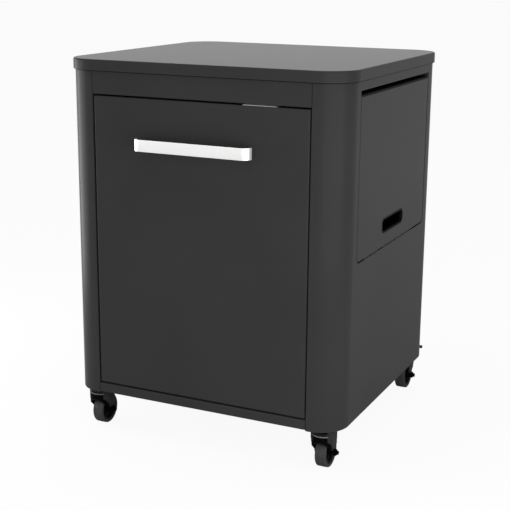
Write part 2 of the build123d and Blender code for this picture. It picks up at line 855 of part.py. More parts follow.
catch_face = strut_outer + catch_offset
with BuildPart() as strut_catches:
    for end in (-1, 1):
        with BuildSketch(front_view(middle + end * shelf_jamb_face)):
            with Locations((seat_x + catch_hold - catch_depth / 2, seat_z)):
                Rectangle(catch_depth, catch_height)
            with Locations((seat_x, seat_z)):
                Circle(foot_radius + catch_gap, mode=Mode.SUBTRACT)
                Rectangle(
                    catch_depth,
                    2 * (foot_radius + catch_gap),
                    align=(Align.MIN, Align.CENTER),
                    mode=Mode.SUBTRACT,
                )
        extrude(amount=end * (shelf_jamb_face - catch_face))
save(strut_catches.part, "strut_catches")

# Caster stems: thread, race cap, kingpin and the riveted head that traps the fork
stem_outline = [
    (0, crown_bottom - loose - kingpin_head_height),
    (kingpin_head, crown_bottom - loose - kingpin_head_height),
    (kingpin_head, crown_bottom - loose),
    (kingpin_radius, crown_bottom - loose),
    (kingpin_radius, cap_bottom),
    (cap_radius, cap_bottom),
    (cap_radius, cap_bottom + cap_height / 2),
    (cap_neck, underside),
    (stem_radius, underside),
    (stem_radius, underside + stem_length),
    (0, underside + stem_length),
]
with BuildPart() as stem:
    with BuildSketch(Plane.XZ):
        with BuildLine():
            Polyline(*stem_outline, close=True)
        make_face()
    revolve(axis=Axis.Z)
with BuildPart() as caster_stems:
    with Locations(*caster_corners.values()):
        add(stem.part)
save(caster_stems.part, "caster_stems")

with BuildPart() as caster_backing_plates:
    with BuildSketch(Plane.XY.offset(floor_top)):
        with Locations(*caster_corners.values()):
            Circle(backing_radius)
            Circle(stem_radius + close, mode=Mode.SUBTRACT)
    extrude(amount=backing_thickness)
save(caster_backing_plates.part, "caster_backing_plates")

with BuildPart() as stem_nuts:
    with BuildSketch(Plane.XY.offset(floor_top + backing_thickness)):
        with Locations(*caster_corners.values()):
            RegularPolygon(stem_nut_radius, 6)
            Circle(stem_radius + close, mode=Mode.SUBTRACT)
    extrude(amount=stem_nut_height)
save(stem_nuts.part, "stem_nuts")

# Fork: a pressed bowl, its outline given from the front, the side and above, hollowed for the wheel
with BuildPart() as wheel_room:
    with BuildSketch(Plane.XZ):
        add(fork_front(fork_sheet))
    extrude(amount=2 * crown_half, both=True)
    with BuildSketch(Plane.XY):
        add(fork_plan(fork_sheet))
    extrude(amount=race_top, mode=Mode.INTERSECT)

with BuildPart() as fork:
    with BuildSketch(Plane.XZ):
        add(fork_front(0))
    extrude(amount=2 * crown_half, both=True)
    with BuildSketch(Plane.XY):
        add(fork_plan(0))
    extrude(amount=race_top, mode=Mode.INTERSECT)
    with BuildSketch(Plane.YZ):
        with Locations((trail, wheel_radius)):
            Circle(leg_boss)
        with Locations((leg_shoulder - crown_half, race_bottom - leg_shoulder)):
            Circle(leg_shoulder)
        with Locations((crown_rear, race_bottom)):
            Rectangle(crown_half + crown_rear - leg_shoulder, fork_sheet, align=(Align.MAX, Align.MAX))
        make_hull()
    extrude(amount=crown_half, both=True, mode=Mode.INTERSECT)
    add(wheel_room.part, mode=Mode.SUBTRACT)
    with BuildSketch(Plane.XY.offset(race_bottom)):
        Circle(race_radius)
    extrude(amount=race_height)
    chamfer(fork.faces().sort_by(Axis.Z)[-1].edges(), race_edge)
    with BuildSketch(Plane.XY.offset(crown_bottom)):
        Circle(kingpin_radius + close)
    extrude(amount=race_top - crown_bottom, mode=Mode.SUBTRACT)
    with BuildSketch(Plane.YZ.offset(-crown_half)):
        with Locations((trail, wheel_radius)):
            Circle(axle_radius + close)
    extrude(amount=2 * crown_half, mode=Mode.SUBTRACT)

# Wheel: a ribbed hub and a tyre with round shoulders, turned about the axle
wheel_axis = Axis((0, trail, wheel_radius), (1, 0, 0))
wheel_section = Plane(origin=(0, trail, wheel_radius), x_dir=(1, 0, 0), z_dir=(0, -1, 0))
wheel_side = Plane(origin=(0, trail, wheel_radius), x_dir=(0, 1, 0), z_dir=(1, 0, 0))
hub_outer = tyre_inner - close
boss_half = leg_inner - hub_boss_gap
with BuildPart() as hub:
    with BuildSketch(wheel_section):
        for half, inner, outer in (
            (boss_half, axle_radius + close, hub_boss),
            (hub_web_half, hub_boss - close, hub_outer - hub_rim + close),
            (hub_rim_half, hub_outer - hub_rim, hub_outer),
        ):
            with Locations((0, (inner + outer) / 2)):
                Rectangle(2 * half, outer - inner)
    revolve(axis=wheel_axis)
    with BuildSketch(wheel_side):
        with PolarLocations((hub_boss + hub_outer - hub_rim) / 2, hub_rib_count):
            Rectangle(hub_outer - hub_rim - hub_boss + hub_rib, hub_rib)
    extrude(amount=hub_rib_half, both=True)

with BuildPart() as tyre:
    with BuildSketch(wheel_section):
        with Locations((0, (tyre_inner + wheel_radius) / 2)):
            tread = Rectangle(wheel_width, tyre_depth)
        chamfer(tread.vertices().group_by(Axis.Y)[-1], tyre_shoulder_drop, tyre_shoulder)
    revolve(axis=wheel_axis)

with BuildPart() as axle:
    with BuildSketch(wheel_side.offset(-leg_half)):
        Circle(axle_radius)
    extrude(amount=2 * leg_half + nut_height + axle_end)
    with BuildSketch(wheel_side.offset(-leg_half - axle_head_height)):
        RegularPolygon(axle_head, 6)
    extrude(amount=axle_head_height)
    with BuildSketch(wheel_side.offset(leg_half)):
        RegularPolygon(axle_head, 6)
        Circle(axle_radius + close, mode=Mode.SUBTRACT)
    extrude(amount=nut_height)

for corner, place in caster_corners.items():
    for piece, piece_name in ((fork, "fork"), (axle, "axle"), (hub, "hub"), (tyre, "tyre")):
        with BuildPart() as placed:
            with Locations(place):
                add(piece.part)
        save(placed.part, f"{piece_name}_{corner}")
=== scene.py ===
"""Looks of an outdoor kitchen cabinet on casters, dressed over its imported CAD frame.

Metres, +X to the cabinet's right, +Y to its back, +Z up, as in the frame.
"""

import logging
import math
from dataclasses import dataclass, field
from enum import Enum

import bmesh
import bpy
from mathutils import Matrix, Vector


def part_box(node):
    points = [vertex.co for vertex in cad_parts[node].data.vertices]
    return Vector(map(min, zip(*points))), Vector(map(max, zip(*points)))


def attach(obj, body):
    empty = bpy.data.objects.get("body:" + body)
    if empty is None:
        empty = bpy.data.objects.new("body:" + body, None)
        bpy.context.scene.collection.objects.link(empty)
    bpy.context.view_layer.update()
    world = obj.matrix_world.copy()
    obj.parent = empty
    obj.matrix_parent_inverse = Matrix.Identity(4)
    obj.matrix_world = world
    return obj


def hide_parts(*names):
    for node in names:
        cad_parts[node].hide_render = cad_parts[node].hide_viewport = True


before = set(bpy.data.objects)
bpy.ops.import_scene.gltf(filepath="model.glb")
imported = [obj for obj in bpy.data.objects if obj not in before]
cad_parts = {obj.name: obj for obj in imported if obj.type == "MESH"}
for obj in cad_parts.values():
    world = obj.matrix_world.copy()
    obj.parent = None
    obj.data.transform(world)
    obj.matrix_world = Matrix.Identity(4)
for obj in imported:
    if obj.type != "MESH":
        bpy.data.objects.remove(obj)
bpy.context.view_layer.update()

log = logging.getLogger("cabinet")

Color = tuple[float, float, float]
Point = tuple[float, float, float]
Span = tuple[float, float]
Socket = bpy.types.NodeSocket
Relief = tuple[Socket, float, float]

# Most of a texture's factors lie between these two
FACTOR_LOW, FACTOR_HIGH = 0.3, 0.7
WHITE = (1.0, 1.0, 1.0, 1.0)


class Corner(Enum):
    """The four casters by their place under the cabinet."""

    FRONT_LEFT = "front_left"
    FRONT_RIGHT = "front_right"
    REAR_LEFT = "rear_left"
    REAR_RIGHT = "rear_right"


class Side(Enum):
    """The two sides of a piece, by the way that each lies across the cabinet."""

    LEFT = -1
    RIGHT = 1

    @property
    def label(self) -> str:
        """Give the side's word in a piece's name."""
        return self.name.lower()


class ShelfEnd(Enum):
    """The two ends of the side shelf."""

    FRONT = "front"
    REAR = "rear"


@dataclass
class NodeBench:
    """A material's node tree with short calls for the nodes the finishes share."""

    name: str
    material: bpy.types.Material = field(init=False)
    tree: bpy.types.NodeTree = field(init=False)
    shader: bpy.types.Node = field(init=False)
    coordinates: Socket = field(init=False)

    def __post_init__(self) -> None:
        """Start an empty tree with a principled shader."""
        self.material = bpy.data.materials.new(self.name)
        self.material.use_nodes = True
        self.tree = self.material.node_tree
        self.tree.nodes.clear()
        output = self.tree.nodes.new("ShaderNodeOutputMaterial")
        self.shader = self.tree.nodes.new("ShaderNodeBsdfPrincipled")
        self.link(self.shader.outputs["BSDF"], output.inputs["Surface"])
        self.coordinates = self.tree.nodes.new("ShaderNodeTexCoord").outputs["Object"]

    def link(self, source: Socket, target: Socket) -> None:
        """Join two sockets."""
        self.tree.links.new(source, target)

    def set(self, **values: object) -> None:
        """Set constants on the shader's own sockets.

        Args:
            **values: socket names, with underscores for spaces, and their values.
        """
        for name, value in values.items():
            self.shader.inputs[name.replace("_", " ")].default_value = value

    def stretched(self, stretch: Point) -> Socket:
        """Give object coordinates stretched along a worked direction.

        Args:
            stretch: factors of the grain along X, Y and Z.
        Returns:
            The vector socket to sample textures with.
        """
        mapping = self.tree.nodes.new("ShaderNodeMapping")
        mapping.inputs["Scale"].default_value = stretch
        self.link(self.coordinates, mapping.inputs["Vector"])
        return mapping.outputs["Vector"]

    def noise(self, scale: float, detail: float, vector: Socket | None = None) -> Socket:
        """Add a noise texture.

        Args:
            scale: cells per metre.
            detail: octaves.
            vector: coordinates, or the object's own.
        Returns:
            The noise's factor.
        """
        node = self.tree.nodes.new("ShaderNodeTexNoise")
        node.inputs["Scale"].default_value = scale
        node.inputs["Detail"].default_value = detail
        self.link(vector or self.coordinates, node.inputs["Vector"])
        return node.outputs["Fac"]

    def cells(self, scale: float) -> Socket:
        """Add a cell texture, for crystals in a plated coat.

        Args:
            scale: cells per metre.
        Returns:
            Each cell's own grey.
        """
        node = self.tree.nodes.new("ShaderNodeTexVoronoi")
        node.inputs["Scale"].default_value = scale
        self.link(self.coordinates, node.inputs["Vector"])
        return node.outputs["Color"]

    def band(self, factor: Socket, low: float, high: float) -> Socket:
        """Map a factor onto a range of values.

        Args:
            factor: the texture's factor.
            low: value at its low end.
            high: value at its high end.
        Returns:
            The mapped value.
        """
        node = self.tree.nodes.new("ShaderNodeMapRange")
        node.inputs["From Min"].default_value = FACTOR_LOW
        node.inputs["From Max"].default_value = FACTOR_HIGH
        node.inputs["To Min"].default_value = low
        node.inputs["To Max"].default_value = high
        self.link(factor, node.inputs["Value"])
        return node.outputs["Result"]

    def tint(self, factor: Socket, dark: Color, light: Color) -> None:
        """Colour the shader between two tones.

        Args:
            factor: where each tone shows.
            dark: colour at the low end.
            light: colour at the high end.
        """
        ramp = self.tree.nodes.new("ShaderNodeValToRGB")
        ends = ((FACTOR_LOW, dark), (FACTOR_HIGH, light))
        for element, (position, color) in zip(ramp.color_ramp.elements, ends):
            element.position = position
            element.color = (*color, 1.0)
        self.link(factor, ramp.inputs["Fac"])
        self.link(ramp.outputs["Color"], self.shader.inputs["Base Color"])

    def roughen(self, factor: Socket, low: float, high: float) -> None:
        """Vary the shader's roughness between two values."""
        self.link(self.band(factor, low, high), self.shader.inputs["Roughness"])

    def emboss(self, layers: tuple[Relief, ...]) -> None:
        """Raise the surface by one or more textures.

        Args:
            layers: each texture's factor, strength and height in metres.
        """
        normal = None
        for factor, strength, height in layers:
            bump = self.tree.nodes.new("ShaderNodeBump")
            bump.inputs["Strength"].default_value = strength
            bump.inputs["Distance"].default_value = height
            self.link(factor, bump.inputs["Height"])
            if normal is not None:
                self.link(normal, bump.inputs["Normal"])
            normal = bump.outputs["Normal"]
        self.link(normal, self.shader.inputs["Normal"])


def lighter(color: Color, by: float) -> Color:
    """Scale a linear colour."""
    return tuple(min(1.0, c * by) for c in color)


@dataclass(frozen=True)
class Finish:
    """A surface finish with its own procedural material.

    Its textures are pairs of cells per metre and octaves, its reliefs of strength and height.
    """

    name: str
    color: Color
    roughness: float
    tones: Span
    spread: Span = (-0.05, 0.05)
    metal: float = 0.0
    gloss: float = 0.05

    def lay(self, bench: NodeBench, tone: Socket, grain: Socket, *reliefs: Relief) -> None:
        """Vary a material's colour, roughness and relief.

        Args:
            bench: the material's node tree.
            tone: the colour's texture.
            grain: the roughness's texture.
            *reliefs: the textures that raise the surface.
        """
        bench.tint(tone, *(lighter(self.color, by) for by in self.tones))
        bench.roughen(grain, *(self.roughness + by for by in self.spread))
        bench.emboss(reliefs)

    def work(self, bench: NodeBench) -> None:
        """Lay the finish's textures."""
        raise NotImplementedError

    def material(self) -> bpy.types.Material:
        """Make the finish's material.

        Returns:
            The material.
        """
        bench = NodeBench(self.name)
        bench.set(Metallic=self.metal, Specular_IOR_Level=self.gloss)
        self.work(bench)
        return bench.material


@dataclass(frozen=True)
class PowderCoat(Finish):
    """Matte baked powder, with fine orange peel and a faint cloud of tone."""

    tones: Span = (0.94, 1.06)
    cloud: Span = (5.0, 3.0)
    grain: Span = (1500.0, 2.0)
    peel: Span = (420.0, 1.0)
    grain_relief: Span = (0.16, 0.0001)
    peel_relief: Span = (0.10, 0.0002)
    gloss: float = 0.027

    def work(self, bench: NodeBench) -> None:
        """Lay the finish's textures."""
        cloud, grain, peel = (bench.noise(*of) for of in (self.cloud, self.grain, self.peel))
        self.lay(bench, cloud, grain, (peel, *self.peel_relief), (grain, *self.grain_relief))


@dataclass(frozen=True)
class SatinSteel(Finish):
    """Blasted stainless steel with a fine grain one way and a broad sheen."""

    tones: Span = (0.98, 1.015)
    spread: Span = (-0.04, 0.05)
    grain: Span = (2600.0, 3.0)
    stretch: Point = (0.012, 1.0, 1.0)
    relief: Span = (0.05, 0.00005)
    metal: float = 0.62
    gloss: float = 0.5

    def work(self, bench: NodeBench) -> None:
        """Lay the finish's textures."""
        strokes = bench.noise(*self.grain, bench.stretched(self.stretch))
        self.lay(bench, strokes, strokes, (strokes, *self.relief))


@dataclass(frozen=True)
class ZincPlate(Finish):
    """Bright zinc with small crystals and a dull bloom."""

    tones: Span = (0.9, 1.08)
    spread: Span = (-0.08, 0.1)
    crystals: float = 260.0
    bloom: Span = (60.0, 4.0)
    pits: Span = (900.0, 2.0)
    relief: Span = (0.08, 0.0001)
    metal: float = 1.0
    gloss: float = 0.5

    def work(self, bench: NodeBench) -> None:
        """Lay the finish's textures."""
        crystals, bloom = bench.cells(self.crystals), bench.noise(*self.bloom)
        self.lay(bench, crystals, bloom, (bench.noise(*self.pits), *self.relief))


@dataclass(frozen=True)
class BlackCoat(Finish):
    """Dark coat on pressed steel, smooth with a slight wave."""

    tones: Span = (0.85, 1.2)
    spread: Span = (-0.04, 0.06)
    wave: Span = (90.0, 2.0)
    relief: Span = (0.06, 0.0004)
    gloss: float = 0.012

    def work(self, bench: NodeBench) -> None:
        """Lay the finish's textures."""
        wave = bench.noise(*self.wave)
        self.lay(bench, wave, wave, (wave, *self.relief))


@dataclass(frozen=True)
class MouldedPlastic(Finish):
    """Moulded plastic with a fine spark-eroded texture."""

    tones: Span = (0.9, 1.12)
    spread: Span = (-0.05, 0.08)
    cloud: Span = (40.0, 3.0)
    grain: Span = (1900.0, 3.0)
    relief: Span = (0.12, 0.00008)

    def work(self, bench: NodeBench) -> None:
        """Lay the finish's textures."""
        cloud, grain = bench.noise(*self.cloud), bench.noise(*self.grain)
        self.lay(bench, cloud, grain, (grain, *self.relief))


@dataclass(frozen=True)
class Rubber(Finish):
    """Dull rubber with a trace of dust."""

    tones: Span = (0.85, 1.25)
    spread: Span = (-0.06, 0.08)
    dust: Span = (120.0, 5.0)
    grain: Span = (1300.0, 3.0)
    relief: Span = (0.2, 0.0001)

    def work(self, bench: NodeBench) -> None:
        """Lay the finish's textures."""
        dust, grain = bench.noise(*self.dust), bench.noise(*self.grain)
        self.lay(bench, dust, dust, (grain, *self.relief))


class Palette:
    """Makes each finish's material once and hands it out."""

    COAT = PowderCoat("charcoal_powder_coat", (0.0225, 0.0225, 0.0233), 0.3)
    HANDLE = SatinSteel("satin_steel", (0.715, 0.715, 0.71), 0.22)
    ZINC = ZincPlate("zinc_plate", (0.56, 0.57, 0.58), 0.36)
    BLACK = BlackCoat("black_coat", (0.0014, 0.0014, 0.0015), 0.26)
    NYLON = MouldedPlastic("black_nylon", (0.006, 0.006, 0.0063), 0.45)
    # Black for the trims that paint the shade in the hand hole and the slot.
    TRIM = MouldedPlastic("edge_trim", (0.0025, 0.0025, 0.0026), 0.6)
    HUB = MouldedPlastic("hub_plastic", (0.004, 0.004, 0.0042), 0.4)
    TYRE = Rubber("tyre_rubber", (0.03, 0.03, 0.0306), 0.55)
    # Black for the strips that paint the shade in the open joints and the shadow under the
    # worktop's rim.
    SEAL = Rubber("joint_seal", (0.0025, 0.0025, 0.0026), 0.7)
    BUMPER = Rubber("bumper_rubber", (0.025, 0.025, 0.025), 0.7)
    # A lighter copy of the fork's black coat: painted light on the fork's sides and on the race's
    # upper lip.
    CHEEK = BlackCoat("fork_side_coat", (0.02, 0.02, 0.0205), 0.4)
    # Light grey on the race's lower rim: a painted highlight line.
    RACE_PAINTED_HIGHLIGHT = BlackCoat("painted_race_highlight", (0.1, 0.1, 0.102), 0.5)
    MAGNET = BlackCoat("sintered_magnet", (0.05, 0.05, 0.052), 0.5)

    def __init__(self) -> None:
        """Start with no materials made."""
        self.made: dict[str, bpy.types.Material] = {}

    def get(self, finish: Finish) -> bpy.types.Material:
        """Give a finish's material.

        Args:
            finish: one of the palette's finishes.
        Returns:
            The material, made on first use.
        """
        if finish.name not in self.made:
            self.made[finish.name] = finish.material()
        return self.made[finish.name]

    def dress(self, finish: Finish, *objects: bpy.types.Object) -> None:
        """Put a finish on whole objects.

        Args:
            finish: the finish.
            *objects: the objects that wear it.
        """
        for obj in objects:
            obj.data.materials.clear()
            obj.data.materials.append(self.get(finish))


def linked(name: str, mesh: bmesh.types.BMesh, crease: float) -> bpy.types.Object:
    """Make a smooth piece of a mesh and link it into the scene.

    Args:
        name: of the piece.
        mesh: its faces, which are freed.
        crease: edges sharper than this many degrees stay sharp.
    Returns:
        The piece's object.
    """
    bmesh.ops.recalc_face_normals(mesh, faces=mesh.faces)
    data = bpy.data.meshes.new(name)
    mesh.to_mesh(data)
    mesh.free()
    data.shade_smooth()
    data.set_sharp_from_angle(angle=math.radians(crease))
    piece = bpy.data.objects.new(name, data)
    bpy.context.scene.collection.objects.link(piece)
    return piece


@dataclass(frozen=True)
class Ring:
    """One ring of a turned piece: place along the line, radius and, unless round, its sides."""

    along: float
    radius: float
    sides: int = 0

    def reach(self, angle: float) -> float:
        """Give the distance from the line at an angle.

        Args:
            angle: round the line, in radians.
        Returns:
            The distance in metres.
        """
        if not self.sides:
            return self.radius
        half = math.pi / self.sides
        return self.radius * math.cos(half) / math.cos(angle % (2 * half) - half)


@dataclass
class Turning:
    """A mesh of rings turned about lines, as one piece."""

    name: str
    steps: int
    mesh: bmesh.types.BMesh = field(default_factory=bmesh.new)

    def add(self, rings: list[Ring], place: Vector, axis: Vector, closed: bool = False) -> None:
        """Turn one set of rings.

        Args:
            rings: from one end to the other, counted from the place.
            place: a point on the line.
            axis: the line's direction.
            closed: True if the last ring joins the first, else both ends are capped.
        """
        side = axis.orthogonal().normalized()
        other = axis.cross(side)
        loops = []
        for ring in rings:
            loop = []
            for step in range(self.steps):
                angle = 2 * math.pi * step / self.steps
                spoke = side * math.cos(angle) + other * math.sin(angle)
                point = place + axis * ring.along + spoke * ring.reach(angle)
                loop.append(self.mesh.verts.new(point))
            loops.append(loop)
        pairs = list(zip(loops, loops[1:]))
        if closed:
            pairs.append((loops[-1], loops[0]))
        else:
            self.mesh.faces.new(reversed(loops[0]))
            self.mesh.faces.new(loops[-1])
        for low, high in pairs:
            for step in range(self.steps):
                after = (step + 1) % self.steps
                self.mesh.faces.new((low[step], low[after], high[after], high[step]))

    def build(self, crease: float = 32.0) -> bpy.types.Object:
        """Finish the piece, whose edges sharper than the crease's degrees stay sharp."""
        return linked(self.name, self.mesh, crease)


def skin(
    name: str, loops: list[list[Vector]], ring: bool = False, crease: float = 35.0
) -> bpy.types.Object:
    """Stretch one mesh piece over loops of points.

    Args:
        name: of the piece.
        loops: closed loops with the same number of points.
        ring: True if the last loop joins the first, else both ends are capped.
        crease: edges sharper than this many degrees stay sharp.
    Returns:
        The piece's object.
    """
    mesh = bmesh.new()
    rows = [[mesh.verts.new(point) for point in loop] for loop in loops]
    for first, second in zip(rows, rows[1:] + rows[:1] if ring else rows[1:]):
        for step in range(len(first)):
            after = (step + 1) % len(first)
            mesh.faces.new((first[step], first[after], second[after], second[step]))
    if not ring:
        mesh.faces.new(rows[0])
        mesh.faces.new(reversed(rows[-1]))
    return linked(name, mesh, crease)


def rounded(width: float, height: float, corner: float, steps: int) -> list[Span]:
    """Draw a rectangle with round corners.

    Args:
        width: across.
        height: up.
        corner: radius.
        steps: segments in each corner.
    Returns:
        Points, across and up, counted from the middle.
    """
    points = []
    for turn, (across, up) in enumerate(((1, 1), (-1, 1), (-1, -1), (1, -1))):
        for step in range(steps + 1):
            angle = math.radians(90 * turn + 90 * step / steps)
            out, rise = corner * math.cos(angle), corner * math.sin(angle)
            points.append((across * (width / 2 - corner) + out, up * (height / 2 - corner) + rise))
    return points


@dataclass(frozen=True)
class JointShadeStrips:
    """Black strips in the joints of fascia and rail with the jambs, and under the worktop's rim:
    painted shade of the open joints and painted shadow under the rim.
    """

    width: float = 0.0013
    depth: float = 0.0012
    proud: float = 0.00005
    edge: float = 0.00012
    seam: float = 0.0006
    sheet: float = 0.0015
    overhang: float = 0.004
    corner: float = 0.060
    rim: float = 0.002
    drop: float = 0.0015
    bevel: float = 0.0004
    lap: float = 0.003
    edge_steps: int = 4
    corner_steps: int = 24

    def upright(self, name: str, place: float, front: float, levels: Span) -> bpy.types.Object:
        """Make one upright strip of painted joint shade.

        Args:
            name: of the piece.
            place: of the joint, across.
            front: of the panels beside it.
            levels: of the joint's bottom and top.
        Returns:
            The strip's object.
        """
        middle = Vector((place, front - self.proud + self.depth / 2, 0.0))
        outline = rounded(self.width, self.depth, self.edge, self.edge_steps)
        loops = [[middle + Vector((a, b, level)) for a, b in outline] for level in levels]
        return skin(name, loops)

    def under_rim(self) -> bpy.types.Object:
        """Make the strip of painted shadow between the worktop's rim and the body.

        Returns:
            The strip's object.
        """
        low, high = (Vector(corner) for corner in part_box("worktop"))
        middle = (low + high) / 2
        width = high.x - low.x - 2 * self.overhang
        depth = high.y - low.y - 2 * self.overhang
        section = (
            (0.0, -self.drop),
            (self.rim - self.bevel, -self.drop),
            (self.rim, self.bevel - self.drop),
            (self.rim, self.lap),
            (0.0, self.lap),
        )
        loops = []
        for out, level in section:
            sides = (width + 2 * out, depth + 2 * out)
            outline = rounded(*sides, self.corner + out, self.corner_steps)
            loops.append([Vector((middle.x + a, middle.y + b, low.z + level)) for a, b in outline])
        return skin("rim_seal", loops, ring=True)

    def build(self) -> list[bpy.types.Object]:
        """Make the strips of painted shade in the joints and painted shadow under the rim.

        Returns:
            Their objects, riding on the carcass.
        """
        nodes = ("front_fascia", "door_skin", "right_side_shell", "worktop")
        fascia, door, shell, top = (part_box(node) for node in nodes)
        front, gap = fascia[0][1], fascia[0][2] - door[1][2]
        joints = {
            "fascia_seal": (fascia[0][2], top[0][2]),
            "rail_seal": (shell[0][2] + self.sheet, door[0][2] - gap),
        }
        pieces = [self.under_rim()]
        for side, edge in zip(Side, (fascia[0][0], fascia[1][0])):
            place = edge + side.value * self.seam / 2
            for name, levels in joints.items():
                pieces.append(self.upright(f"{name}_{side.label}", place, front, levels))
        for piece in pieces:
            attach(piece, "carcass")
        return pieces


@dataclass(frozen=True)
class HoleShadeTrim:
    """Black edge trim in the shelf's hand hole, with a thin lip on the shelf's face; its black is
    painted shade inside the hole.
    """

    width: float = 0.125
    height: float = 0.026
    corner: float = 0.010
    rise: float = 0.0305
    depth: float = 0.0058
    wall: float = 0.0005
    lip: float = 0.0028
    lip_edge: float = 0.6
    mouth_edge: float = 0.3
    bevel: float = 0.0003
    sunk: float = 0.0001
    steps: int = 8

    def build(self) -> bpy.types.Object:
        """Make the trim.

        Returns:
            The trim's object, riding on the shelf.
        """
        low, high = (Vector(corner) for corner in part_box("shelf_panel"))
        middle = Vector((high.x, (low.y + high.y) / 2, low.z + self.rise + self.height / 2))
        section = (
            (-self.lip, 0.0),
            (-self.lip, self.lip_edge * self.wall),
            (-self.lip + self.bevel, self.wall),
            (0.0, self.wall),
            (self.wall, self.mouth_edge * self.wall),
            (self.wall, -self.depth),
            (self.sunk, -self.depth),
            (self.sunk, 0.0),
        )
        loops = []
        for inset, out in section:
            width, height = self.width - 2 * inset, self.height - 2 * inset
            outline = rounded(width, height, self.corner - inset, self.steps)
            loops.append([middle + Vector((out, across, up)) for across, up in outline])
        piece = skin("hand_hole_trim", loops, ring=True)
        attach(piece, "side_shelf")
        return piece


@dataclass(frozen=True)
class SlotShadeTrim:
    """Black edge trim over the shelf's upper edge, along the slot; its black is painted shade in
    the slot.
    """

    reach: float = 0.0185
    drop: float = 0.0034
    round_edge: float = 0.0025
    wall: float = 0.0005
    end: float = 0.005
    steps: int = 6

    def outline(self, top: float, face: float) -> list[Span]:
        """Draw the trim's section round the shelf's edge.

        Args:
            top: level of the shelf's upper edge.
            face: place of the shelf's outer face.
        Returns:
            Points, across and up.
        """
        outer, inner = [], []
        across, up = face - self.round_edge, top - self.round_edge
        for radius, run in ((self.round_edge + self.wall, outer), (self.round_edge, inner)):
            run.append((face - self.reach, up + radius))
            for step in range(self.steps + 1):
                angle = math.radians(90 - 90 * step / self.steps)
                run.append((across + radius * math.cos(angle), up + radius * math.sin(angle)))
            run.append((across + radius, top - self.drop))
        return outer + inner[::-1]

    def build(self) -> bpy.types.Object:
        """Make the trim.

        Returns:
            The trim's object, riding on the shelf.
        """
        low, high = (Vector(corner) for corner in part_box("shelf_panel"))
        section = self.outline(high.z, high.x)
        ends = (low.y + self.end, high.y - self.end)
        loops = [[Vector((across, end, up)) for across, up in section] for end in ends]
        piece = skin("shelf_edge_trim", loops)
        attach(piece, "side_shelf")
        return piece


@dataclass(frozen=True)
class BentStrap:
    """The handle's flat bar, with bent ends and broken edges, in place of the plain node."""

    node: str = "handle"
    body: str = "door"
    slot: str = "handle_steel"
    thickness: float = 0.004
    bend: float = 0.017
    edge: float = 0.0008
    end_inset: float = 0.7
    edge_steps: int = 4
    steps: int = 18

    def path(self, low: Vector, high: Vector) -> list[tuple[Vector, Vector]]:
        """Follow the bar's middle from its left end to its right end.

        Args:
            low: the node's lowest corner.
            high: its highest corner.
        Returns:
            Points at half the bar's height, each with the outward direction.
        """
        half = self.thickness / 2
        level = (low.z + high.z) / 2
        outward = Vector((-1.0, 0.0, 0.0))
        stations = [
            (Vector((low.x + half, high.y, level)), outward),
            (Vector((low.x + half, high.y - self.edge, level)), outward),
        ]
        for centre, start in ((low.x + self.bend, 180), (high.x - self.bend, 270)):
            for step in range(self.steps + 1):
                angle = math.radians(start + 90 * step / self.steps)
                outward = Vector((math.cos(angle), math.sin(angle), 0.0))
                middle = Vector((centre, low.y + self.bend, level))
                stations.append((middle + outward * (self.bend - half), outward))
        stations += [
            (Vector((high.x - half, high.y - self.edge, level)), outward),
            (Vector((high.x - half, high.y, level)), outward),
        ]
        return stations

    def build(self) -> bpy.types.Object:
        """Sweep the section along the path.

        Returns:
            The strap's object.
        """
        low, high = (Vector(corner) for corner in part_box(self.node))
        stations = self.path(low, high)
        loops = []
        for index, (middle, outward) in enumerate(stations):
            inset = self.edge * self.end_inset if index in (0, len(stations) - 1) else 0.0
            width, height = self.thickness - 2 * inset, high.z - low.z - 2 * inset
            outline = rounded(width, height, self.edge - inset, self.edge_steps)
            loops.append([middle + outward * out + Vector((0.0, 0.0, up)) for out, up in outline])
        piece = skin("handle_strap", loops)
        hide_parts(self.node)
        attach(piece, self.body)
        return piece


@dataclass(frozen=True)
class ScrewHeads:
    """Button heads with hex sockets, in place of a node's plain screws that face the back."""

    node: str
    body: str
    height: float
    slot: str = "zinc_plate"
    apart: float = 0.02
    dome_top: float = 0.6
    dome_fall: float = 0.9
    dome_steps: int = 5
    socket: float = 0.5
    socket_floor: float = 0.25
    socket_sides: int = 6
    shank: float = 0.3
    steps: int = 36

    def solids(self) -> list[tuple[Vector, Vector]]:
        """Find the node's separate screws.

        Returns:
            Each screw's lowest and highest corner.
        """
        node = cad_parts[self.node]
        found: list[tuple[Vector, Vector]] = []
        for vertex in node.data.vertices:
            point = node.matrix_world @ vertex.co
            for low, high in found:
                middle = (low + high) / 2
                if abs(point.x - middle.x) + abs(point.z - middle.z) < self.apart:
                    for axis in range(3):
                        low[axis] = min(low[axis], point[axis])
                        high[axis] = max(high[axis], point[axis])
                    break
            else:
                found.append((point.copy(), point.copy()))
        return found

    def build(self) -> bpy.types.Object:
        """Make the heads and hide the plain screws.

        Returns:
            The piece's object.
        """
        turning = Turning(self.node + "_heads", self.steps)
        for low, high in self.solids():
            middle = (low + high) / 2
            radius = (high.x - low.x) / 2
            place = Vector((middle.x, high.y - self.height, middle.z))
            shank, across = radius * self.shank, radius * self.socket
            rings = [
                Ring(self.height * level, across, self.socket_sides)
                for level in (self.socket_floor, 1.0)
            ]
            for step in range(self.dome_steps + 1):
                share = step / self.dome_steps
                swell = self.dome_top + (1 - self.dome_top) * math.sin(share * math.pi / 2)
                rings.append(Ring(self.height * (1 - share**2 * self.dome_fall), radius * swell))
            rings += [Ring(0.0, radius), Ring(0.0, shank), Ring(low.y - place.y, shank)]
            turning.add(rings, place, Vector((0.0, 1.0, 0.0)))
        piece = turning.build()
        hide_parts(self.node)
        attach(piece, self.body)
        return piece


